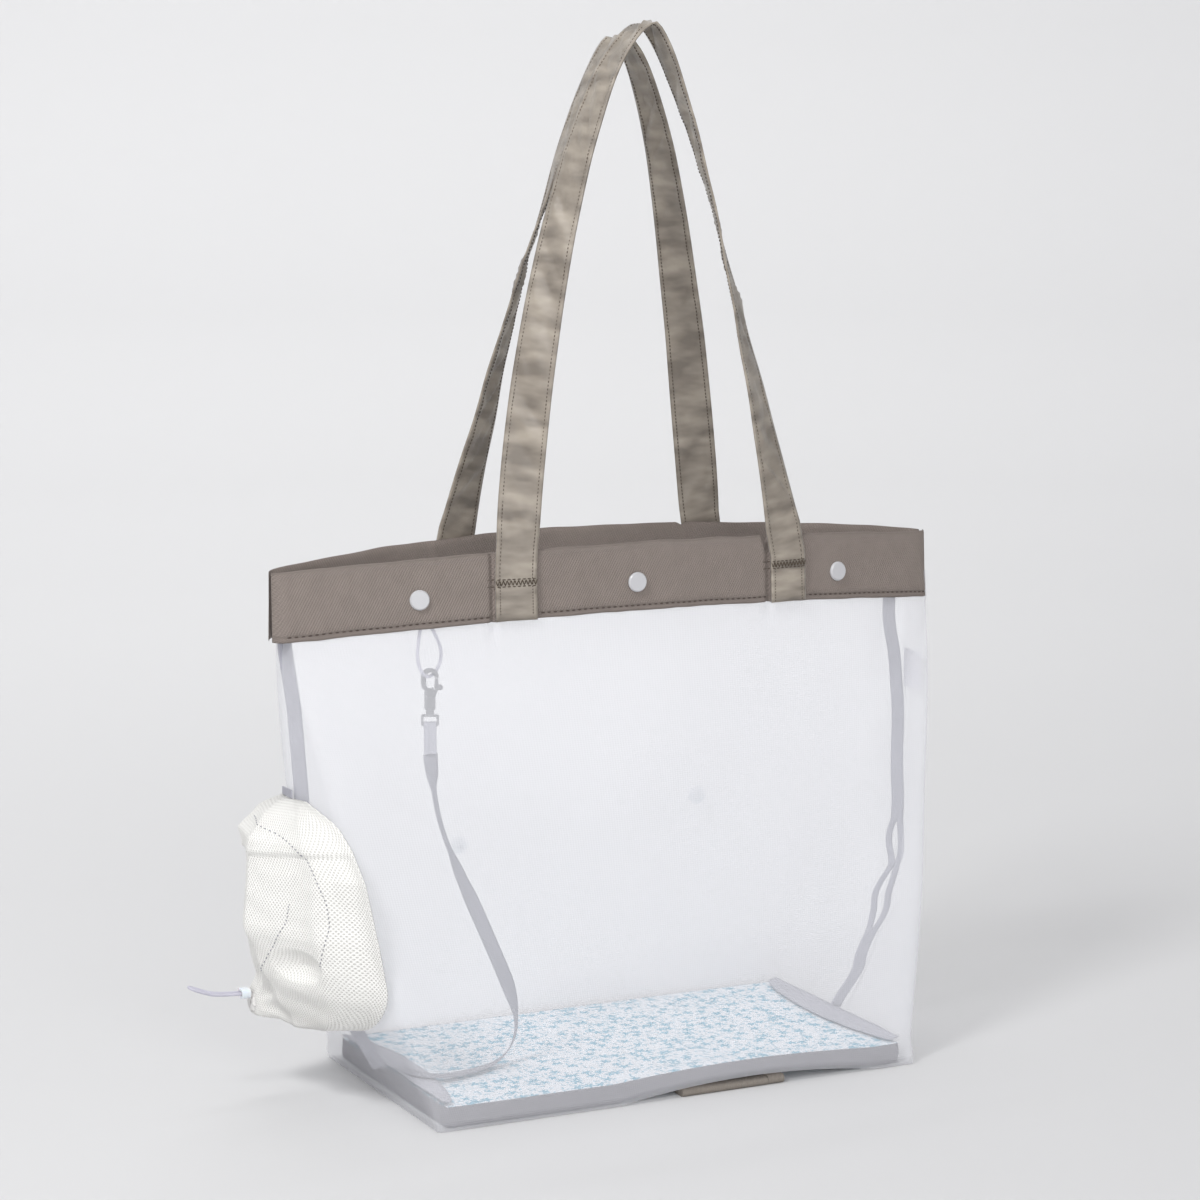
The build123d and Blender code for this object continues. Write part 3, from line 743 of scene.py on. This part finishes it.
def finish_modifiers(obj):
    """Applies a piece's modifiers, so that its mesh is final."""
    ready = bpy.data.meshes.new_from_object(obj.evaluated_get(bpy.context.evaluated_depsgraph_get()))
    obj.modifiers.clear()
    obj.data = ready


strap_piece("front_handle_strap", FRONT_STRAP, ("front_handle", "front_handle_ends"), 1.0)
strap_piece("back_handle_strap", BACK_STRAP, ("back_handle", "back_handle_ends"), 6.0)


# ---- Seam and corner tapes: pale grey grosgrain bound over the raw edges ----
# Ribbed polyester tape, folded over the side seams inside the bag and over the two base corners.
ribbed = woven("ribbed tape", (0.42, 0.42, 0.47), 0.7, 1.6, 1.57, 0.7, spread=0.12, coords="Object")
for name in ("tether_fold", "pouch_tab"):
    paint(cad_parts[name], ribbed)
SPLITS = {-1: (), 1: ((131, 15, 4.2), (91, 22, 5.0))}
BINDING_LOW, BINDING_HIGH = 16.4, 317
RIGHT_BINDING = ((10, 177), (47, 199), (89, 216), (124, 228), (231, 227), (302, 219), (320, 217))


def binding_place(hand, leaf):
    """One leaf of a side seam's binding, standing into the bag; the two part where they come unsewn."""

    def place(u, v):
        z = BINDING_LOW + (BINDING_HIGH - BINDING_LOW) * v
        left = wall_row(z)[2]
        seam = along_table(RIGHT_BINDING, z) if hand > 0 else middle_x(z) - left + 4.0
        part = sum(wide * max(0, 1 - ((z - at) / half) ** 2) for at, half, wide in SPLITS[hand])
        wander = ripple((0, 0, z), 30, 1.6, hand)
        inward = (u + leaf) * 4.8 + part * (leaf - 0.45)
        return Vector((seam - hand * (inward + wander * 0.4), 1.0 + wander + part * 0.4 * leaf, z))

    return place


SEAM_BINDINGS = ((-1, "left_seam_binding", "left_seam_tape"), (1, "right_seam_binding", "right_seam_tape"))
for hand, name, node in SEAM_BINDINGS:
    binding = cloth(name, 4, 110, binding_place(hand, 0), (5, 300))
    second = cloth(name + "_leaf", 4, 110, binding_place(hand, 1), (5, 300))

    def join_leaf(bm):
        bm.from_mesh(second.data)
        bmesh.ops.remove_doubles(bm, verts=bm.verts, dist=1e-5)

    reshape(binding, join_leaf)
    bpy.data.objects.remove(second)
    paint(binding, ribbed)
    thicken(binding, 0.8)
    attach(binding, "bag")
    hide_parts(node)


def corner_fold_place(hand):
    """A corner seam's binding over a short edge of the base: wide in the middle, sloping up the wall."""

    def place(u, v):
        y = -86 + 170 * v
        wide = 6 + 13 * sin(pi * min(max(v, 0.0), 1.0)) ** 0.7
        x = BASE_SHIFT + hand * (PAD_EDGE - wide * u)
        z = 16.2 + 1.6 * (1 - u) + ripple((x, y, 0), 22, 0.6, 3)
        return Vector((x, y, z))

    return place


PAD_EDGE = 168.5
CORNER_FOLDS = (
    (-1, "left_corner_binding", "left_base_tape"), (1, "right_corner_binding", "right_base_tape"),
)
for hand, name, node in CORNER_FOLDS:
    fold = cloth(name, 6, 60, corner_fold_place(hand), (14, 170))
    paint(fold, ribbed)
    thicken(fold, 0.8)
    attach(fold, "bag")
    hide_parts(node)
label_cloth = woven("label cloth", (0.85, 0.84, 0.88), 0.6, 0.8, 0.0, 0.3, coords="Object")
paint(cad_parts["care_label"], label_cloth)


# ---- Snap fasteners: moulded white and clear plastic ----
# Domed white caps are set through the two bands and close the mouth.
# Small clear ones are set through the back wall lower down, for holding the bag folded.
snap_white = finish("white snap plastic", (0.55, 0.55, 0.57), 0.32, Coat_Weight=0.3, Coat_Roughness=0.15)
grained(snap_white, 900.0, 3.0, 0.08, 0.0002)
snap_clear = finish("clear snap plastic", (0.93, 0.94, 0.96), 0.3, Alpha=0.35, Coat_Weight=0.4)
grained(snap_clear, 700.0, 2.0, 0.1, 0.0002)
for name in ("front_snap_caps", "front_snap_sockets", "back_snap_caps", "back_snap_studs"):
    paint(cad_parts[name], snap_white)
for name in ("fold_snap_caps", "fold_snap_sockets"):
    paint(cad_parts[name], snap_clear)


# ---- Base pad: a foam board in a cotton cover printed with small blue flowers ----
# It lies loose in the base. The cover's top is crowned a little over the foam, its plain side wall is 15 mm
# high and coloured a dark grey-lilac as painted shade, and its front edge rides up over the tab that is
# rolled under it.
PAD_HIGH, PAD_HALF_X, PAD_HALF_Y, PAD_LOW = 15.0, 168.0, 91.0, 0.8

floral = finish("floral cotton", (0.75, 0.79, 0.83), 0.85)
cotton = add(floral, "TexCoord").outputs["Object"]
wander = add(floral, "TexNoise", Vector=cotton, Scale=120.0, Detail=2.0)
moved = add(floral, "VectorMath", operation="SUBTRACT")
plug(floral, moved.inputs[0], wander.outputs["Color"])
plug(floral, moved.inputs[1], (0.5, 0.5, 0.5))
small = add(floral, "VectorMath", operation="SCALE")
plug(floral, small.inputs[0], moved.outputs[0])
plug(floral, small.inputs["Scale"], 0.0025)
bent = add(floral, "VectorMath", operation="ADD")
plug(floral, bent.inputs[0], cotton)
plug(floral, bent.inputs[1], small.outputs[0])


def printed(scale, size, petals, chance, tall=1.0):
    """Where a scattered motif is printed: 1 inside its petals, on only some of the cells."""
    place = add(floral, "Mapping", Vector=bent.outputs[0], Scale=(1, tall, 1)).outputs[0]
    cells = add(floral, "TexVoronoi", Vector=place, Scale=scale, voronoi_dimensions="2D")
    away = add(floral, "VectorMath", operation="SUBTRACT")
    plug(floral, away.inputs[0], place)
    plug(floral, away.inputs[1], cells.outputs["Position"])
    parts = add(floral, "SeparateXYZ", Vector=away.outputs[0])
    angle = sums(floral, "ARCTAN2", parts.outputs[1], parts.outputs[0])
    drawn = add(floral, "SeparateColor", Color=cells.outputs["Color"])
    phase = sums(floral, "MULTIPLY_ADD", drawn.outputs[0], 6.3, sums(floral, "MULTIPLY", angle, petals))
    reach = sums(floral, "MULTIPLY_ADD", sums(floral, "COSINE", phase), size * 0.35, size * 0.75)
    inside = sums(floral, "LESS_THAN", cells.outputs["Distance"], reach)
    return sums(floral, "MULTIPLY", inside, sums(floral, "LESS_THAN", drawn.outputs[1], chance))


flowers = printed(112.0, 0.42, 5.0, 0.52)
leaves = printed(235.0, 0.38, 2.0, 0.5)
sprigs = printed(360.0, 0.32, 3.0, 0.42, 0.6)
hue = add(floral, "TexNoise", Vector=cotton, Scale=55.0, Detail=3.0).outputs[0]
blues = add(floral, "Mix", data_type="RGBA")
plug(floral, blues.inputs[0], hue)
plug(floral, blues.inputs[6], (0.08, 0.32, 0.46, 1))
plug(floral, blues.inputs[7], (0.2, 0.46, 0.58, 1))
ink = sums(floral, "MAXIMUM", flowers, sums(floral, "MAXIMUM", sums(floral, "MULTIPLY", leaves, 0.8),
                                            sums(floral, "MULTIPLY", sprigs, 0.6)))
print_mix = add(floral, "Mix", data_type="RGBA")
plug(floral, print_mix.inputs[0], ink)
plug(floral, print_mix.inputs[6], (0.76, 0.79, 0.83, 1))
plug(floral, print_mix.inputs[7], blues.outputs[2])
plug(floral, shader_of(floral).inputs["Base Color"], print_mix.outputs[2])
weave = add(floral, "TexWave", Vector=cotton, Scale=420.0).outputs["Fac"]
relief = add(floral, "Bump", Strength=0.2, Distance=0.0003, Height=weave)
plug(floral, shader_of(floral).inputs["Normal"], relief.outputs[0])
# Painted shade: the plain side wall gets a dark grey-lilac colour that stands in for the shade it lies in.
pad_side_painted_shade = woven("pad side cotton with painted shade", (0.145, 0.137, 0.16), 0.85, 1.0, 0.0, 0.4, coords="Object")

bm = bmesh.new()
bmesh.ops.create_cube(bm, size=2)
bmesh.ops.subdivide_edges(bm, edges=bm.edges, cuts=44, use_grid_fill=True)
for vertex in bm.verts:
    x, y, z = vertex.co
    on_top, on_side = z > 0.999, max(abs(x), abs(y)) > 0.999
    round_x, round_y = x * (1 - 0.006 * y ** 8), y * (1 - 0.014 * x ** 8)
    long, deep = BASE_SHIFT + round_x * (PAD_HALF_X - 0.3), round_y * (PAD_HALF_Y - 0.3)
    high = PAD_LOW + (PAD_HIGH - 0.6 - PAD_LOW) * (z + 1) / 2
    if on_top:
        high += 0.9 * (1 - x ** 6) * (1 - y ** 6) - 0.5
        high += ripple((long, deep, 0), 34, 0.8) * (1 - x ** 8) * (1 - y ** 8)
    high += base_lift(long, deep) * (1 - 0.5 * (z + 1) / 2)
    if on_side:
        pull = 0.5 * z * z + ripple((long, deep, z * 20), 21, 0.5, 6)
        long, deep = long - x ** 9 * pull, deep - y ** 9 * pull
    vertex.co = Vector((long, deep, high)) * MM
pad_mesh = bpy.data.meshes.new("pad_cushion")
bm.normal_update()
# Faces that look up take the floral print; the side faces take the painted shade.
for face in bm.faces:
    face.material_index = 0 if abs(face.normal.z) > 0.7 else 1
    face.smooth = True
bm.to_mesh(pad_mesh)
bm.free()
pad_mesh.materials.append(floral)
pad_mesh.materials.append(pad_side_painted_shade)
pad = link(bpy.data.objects.new("pad_cushion", pad_mesh))
edges = pad.modifiers.new("soft edges", "BEVEL")
edges.width, edges.segments, edges.limit_method, edges.angle_limit = 1.6 * MM, 3, "ANGLE", 0.9
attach(pad, "bag")
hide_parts("pad_cover", "pad_foam")


# ---- Rolled tab under the base's front edge ----
# A strip of the band's twill, rolled and stitched flat under the base.
# A short sleeve of the same twill closes its end.
tab_twill = woven("tab twill", (0.26, 0.23, 0.2), 0.8, 1.0, 0.5, 0.6, coords="Object")
for name in ("base_tab", "base_tab_end"):
    paint(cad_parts[name], tab_twill)


# ---- Pouch: a small bag of cream mesh, hung by a tab from the left side seam ----
# Coarse knitted diamond mesh that bulges round to the front wall, folded over at its top and
# gathered into a corded hem at its bottom. Two rows of grey thread curve down it.
POUCH = (
    (52, -66, 57, 8, 32, 44), (80, -73, 60, 6, 37, 47), (120, -77, 62, 6, 40, 42), (160, -76, 62, 6, 34, 35),
    (180, -64, 62, 6, 30, 40), (195, -42, 46, 6, 20, 22), (205, -18, 12, 5.5, 8, 8),
)
POUCH_GAP, POUCH_LOW, POUCH_TOP = 1.5, 52.4, 204.6
HEM_Y, HEM_Z = 42.0, 61.0


def pouch_row(height):
    """Front and back ends of the pouch at that height, and how far it stands off there."""
    for low, high in zip(POUCH, POUCH[1:]):
        if height <= high[0]:
            share = max((height - low[0]) / (high[0] - low[0]), 0)
            return [a + (b - a) * share for a, b in zip(low[1:], high[1:])]
    return list(POUCH[-1][1:])


def swing_in(height, bottom, side, reach):
    """How the pouch's end draws in towards its rounded bottom."""
    if height >= bottom:
        return side
    return reach + (side - reach) * max(0.0, 1 - ((bottom - height) / (bottom - POUCH_LOW + 1)) ** 2) ** 0.5


def body_left_x(y, height):
    half_width, half_depth, left, _ = wall_row(height)
    share = min(abs(y) / half_depth, 1.0)
    return middle_x(height) - left + (left - half_width) * share


def pouch_point(share, height, inner=False):
    """A point on the pouch, share 0 at its front edge and 1 at its back edge."""
    front, back, off_front, off_middle, off_back = pouch_row(height)
    front, back = swing_in(height, 92, front, -14), swing_in(height, 66, back, 44)
    y = front + (back - front) * share
    table = ((front, off_front), (0.6 * front, 0.75 * off_middle), (0, off_middle),
             (0.6 * back, 0.5 * off_middle + 0.5 * off_back), (back, 0.7 * off_back))
    body_x = body_left_x(y, height)
    if inner:
        return Vector((body_x - POUCH_GAP - 0.3, y, height))
    off = along_table(table, y)
    edge = min(share, 1 - share)
    off = POUCH_GAP + 0.5 + (off - POUCH_GAP - 0.5) * min(1, edge / 0.1) ** 0.5
    puff = ripple((y, height, 0), 24, 1.7, 2) + ripple((y, height, 0), 11, 0.7, 8)
    from_hem = Vector((y - HEM_Y, height - HEM_Z)).length
    near = max(0.0, 1 - from_hem / 62)
    angle = atan2(height - HEM_Z, y - HEM_Y)
    puff += 1.7 * sin(angle * 13 + 1.5) * near * (1 - near) * 3.2
    pinch = Vector(((y + 30) / 19, (height - 101) / 11)).length
    puff -= 8.0 * max(0, 1 - pinch) ** 0.8
    lump = Vector(((y + 26) / 22, (height - 84) / 11)).length
    puff += 3.5 * max(0, 1 - lump)
    fold = 169 - 0.09 * (y - 10)
    puff += 2.2 * min(max((height - fold) / 1.6, 0), 1) * min(max((200 - height) / 20, 0), 1)
    spout = min(max((27 - from_hem) / 19, 0), 1)
    sink = min(1, edge / 0.08)
    x = body_x - max(off + (puff - 1.2) * sink - 0.8 * sink, POUCH_GAP + 0.4)
    return Vector((x + (-243.2 - x) * spout * spout * (3 - 2 * spout), y, height))


def pouch_place(u, v):
    close = min(v / 0.07, (1 - v) / 0.05, 1)
    height = POUCH_LOW + (POUCH_TOP - POUCH_LOW) * min(max((v - 0.07) / 0.88, 0), 1)
    outer = u <= 0.62
    share = u / 0.62 if outer else (1 - u) / 0.38
    point = pouch_point(share, height, not outer)
    if close < 1:
        back_wall = pouch_point(share, height, True)
        point.x = back_wall.x + (point.x - back_wall.x) * max(close, 0.0) - 0.2 * (outer and close <= 0)
    return point


mesh_cloth = finish("cream mesh", (0.86, 0.855, 0.83), 0.8)
knit = add(mesh_cloth, "TexCoord").outputs["UV"]
lines = []
for slant in (0.785, -0.785):
    turned = add(mesh_cloth, "Mapping", Vector=knit, Rotation=(0, 0, slant)).outputs[0]
    lines.append(add(mesh_cloth, "TexWave", Vector=turned, Scale=WAVE_SCALE / 0.0021).outputs["Fac"])
holes = sums(mesh_cloth, "MULTIPLY", lines[0], lines[1])
relief = add(mesh_cloth, "Bump", Strength=0.8, Distance=0.0007, Height=holes, invert=True)
plug(mesh_cloth, shader_of(mesh_cloth).inputs["Normal"], relief.outputs[0])
shade = add(mesh_cloth, "Mix", data_type="RGBA")
plug(mesh_cloth, shade.inputs[0], sums(mesh_cloth, "POWER", holes, 1.6))
plug(mesh_cloth, shade.inputs[6], (0.9, 0.893, 0.865, 1))
plug(mesh_cloth, shade.inputs[7], (0.66, 0.65, 0.61, 1))
plug(mesh_cloth, shader_of(mesh_cloth).inputs["Base Color"], shade.outputs[2])

pouch = cloth("mesh_pouch", 150, 120, pouch_place, (330, 170), around=True)
reshape(pouch, lambda bm: [bmesh.ops.smooth_vert(bm, verts=bm.verts, factor=0.5) for _ in range(2)])
paint(pouch, mesh_cloth)
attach(pouch, "pouch")
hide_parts("pouch_shell")

grey_thread = woven("grey thread", (0.3, 0.3, 0.36), 0.8, 0.4, 0.8, 0.6, coords="Object")


def pouch_curve(points, count):
    """Stitches along a line of (y, height) points on the pouch's outer face."""
    run = [i / (len(points) - 1) for i in range(len(points))]
    spots = []
    for i in range(2 * count):
        share = i / (2 * count - 1)
        y = along_line(run, [p[0] for p in points], share)
        height = along_line(run, [p[1] for p in points], share)
        front, back = pouch_row(height)[:2]
        spot = pouch_point(min(max((y - front) / (back - front), 0), 1), height)
        spots.append(spot + Vector((-0.25, -0.1, 0)))
    return list(zip(spots[::2], spots[1::2]))


def along_line(shares, values, share):
    """Reads values along a smooth curve through them."""
    for i in range(len(shares) - 1):
        if share <= shares[i + 1] or i == len(shares) - 2:
            t = (share - shares[i]) / (shares[i + 1] - shares[i])
            v1, v2 = values[i], values[i + 1]
            v0, v3 = values[max(i - 1, 0)], values[min(i + 2, len(values) - 1)]
            square, cube = 2 * v0 - 5 * v1 + 4 * v2 - v3, 3 * (v1 - v2) + v3 - v0
            return v1 + 0.5 * t * (v2 - v0 + t * (square + t * cube))


PANEL_SEAM = ((20, 190), (-4, 188), (-27, 182), (-42, 172), (-51, 157), (-55, 140), (-54, 122), (-48, 104))
SHORT_SEAM = ((-30, 142), (-27, 128), (-15, 110), (2, 92))
both_rows = pouch_curve(PANEL_SEAM, 44) + pouch_curve(SHORT_SEAM, 20)
seams = sewn("pouch_grey_stitches", both_rows, 0.7, grey_thread)
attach(seams, "pouch")

hem_cloth = woven("gathered hem", (0.8, 0.79, 0.77), 0.8, 1.4, 0.0, 0.8, coords="Object")
bm = bmesh.new()
profile = [
    (4.7, -225.2), (5.2, -226), (7.2, -227), (7.8, -230), (7.6, -235), (7.9, -240), (7.0, -243.6),
    (4.4, -245.0), (1.6, -244.6), (1.0, -243.2), (1.8, -241), (4.7, -235),
]
chain = [bm.verts.new((x, HEM_Y, HEM_Z + radius)) for radius, x in profile]
rim = [bm.edges.new((chain[i], chain[(i + 1) % len(chain)])) for i in range(len(chain))]
bmesh.ops.spin(bm, geom=chain + rim, cent=(0, HEM_Y, HEM_Z), axis=(1, 0, 0), angle=2 * pi,
               steps=72, use_merge=True)
bmesh.ops.remove_doubles(bm, verts=bm.verts, dist=1e-4)
for vertex in bm.verts:
    angle = atan2(vertex.co.z - HEM_Z, vertex.co.y - HEM_Y)
    radial = Vector((0, vertex.co.y - HEM_Y, vertex.co.z - HEM_Z))
    if radial.length > 5:
        vertex.co += radial.normalized() * (0.45 * sin(angle * 13) * sin(angle * 3 + 1) - 0.25)
    vertex.co.x += 0.5 * sin(angle * 9) * (radial.length > 5)
    vertex.co *= MM
bmesh.ops.recalc_face_normals(bm, faces=bm.faces)
hem_mesh = bpy.data.meshes.new("pouch_gathers")
bm.to_mesh(hem_mesh)
bm.free()
hem = link(bpy.data.objects.new("pouch_gathers", hem_mesh))
paint(hem, hem_cloth)
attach(hem, "pouch")
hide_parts("pouch_hem")
bead = finish("bead plastic", (0.85, 0.85, 0.88), 0.2, Coat_Weight=0.4, Subsurface_Weight=0.2)
paint(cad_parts["cord_stop"], bead)


# ---- Clasp: a small swivel snap hook of bright nickel-plated zinc ----
# A cast hook hangs in the elastic loop, with a sprung gate, its pin and its thumb knob.
# The swivel eye under it holds the tether's sewn fold.
nickel = finish("nickel plate", (0.3, 0.3, 0.31), 0.24, Metallic=1.0)
grained(nickel, 600.0, 4.0, 0.15, 0.0003)
for name in ("clasp_hook", "clasp_gate", "clasp_pin", "clasp_eye"):
    paint(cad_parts[name], nickel)

low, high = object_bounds()
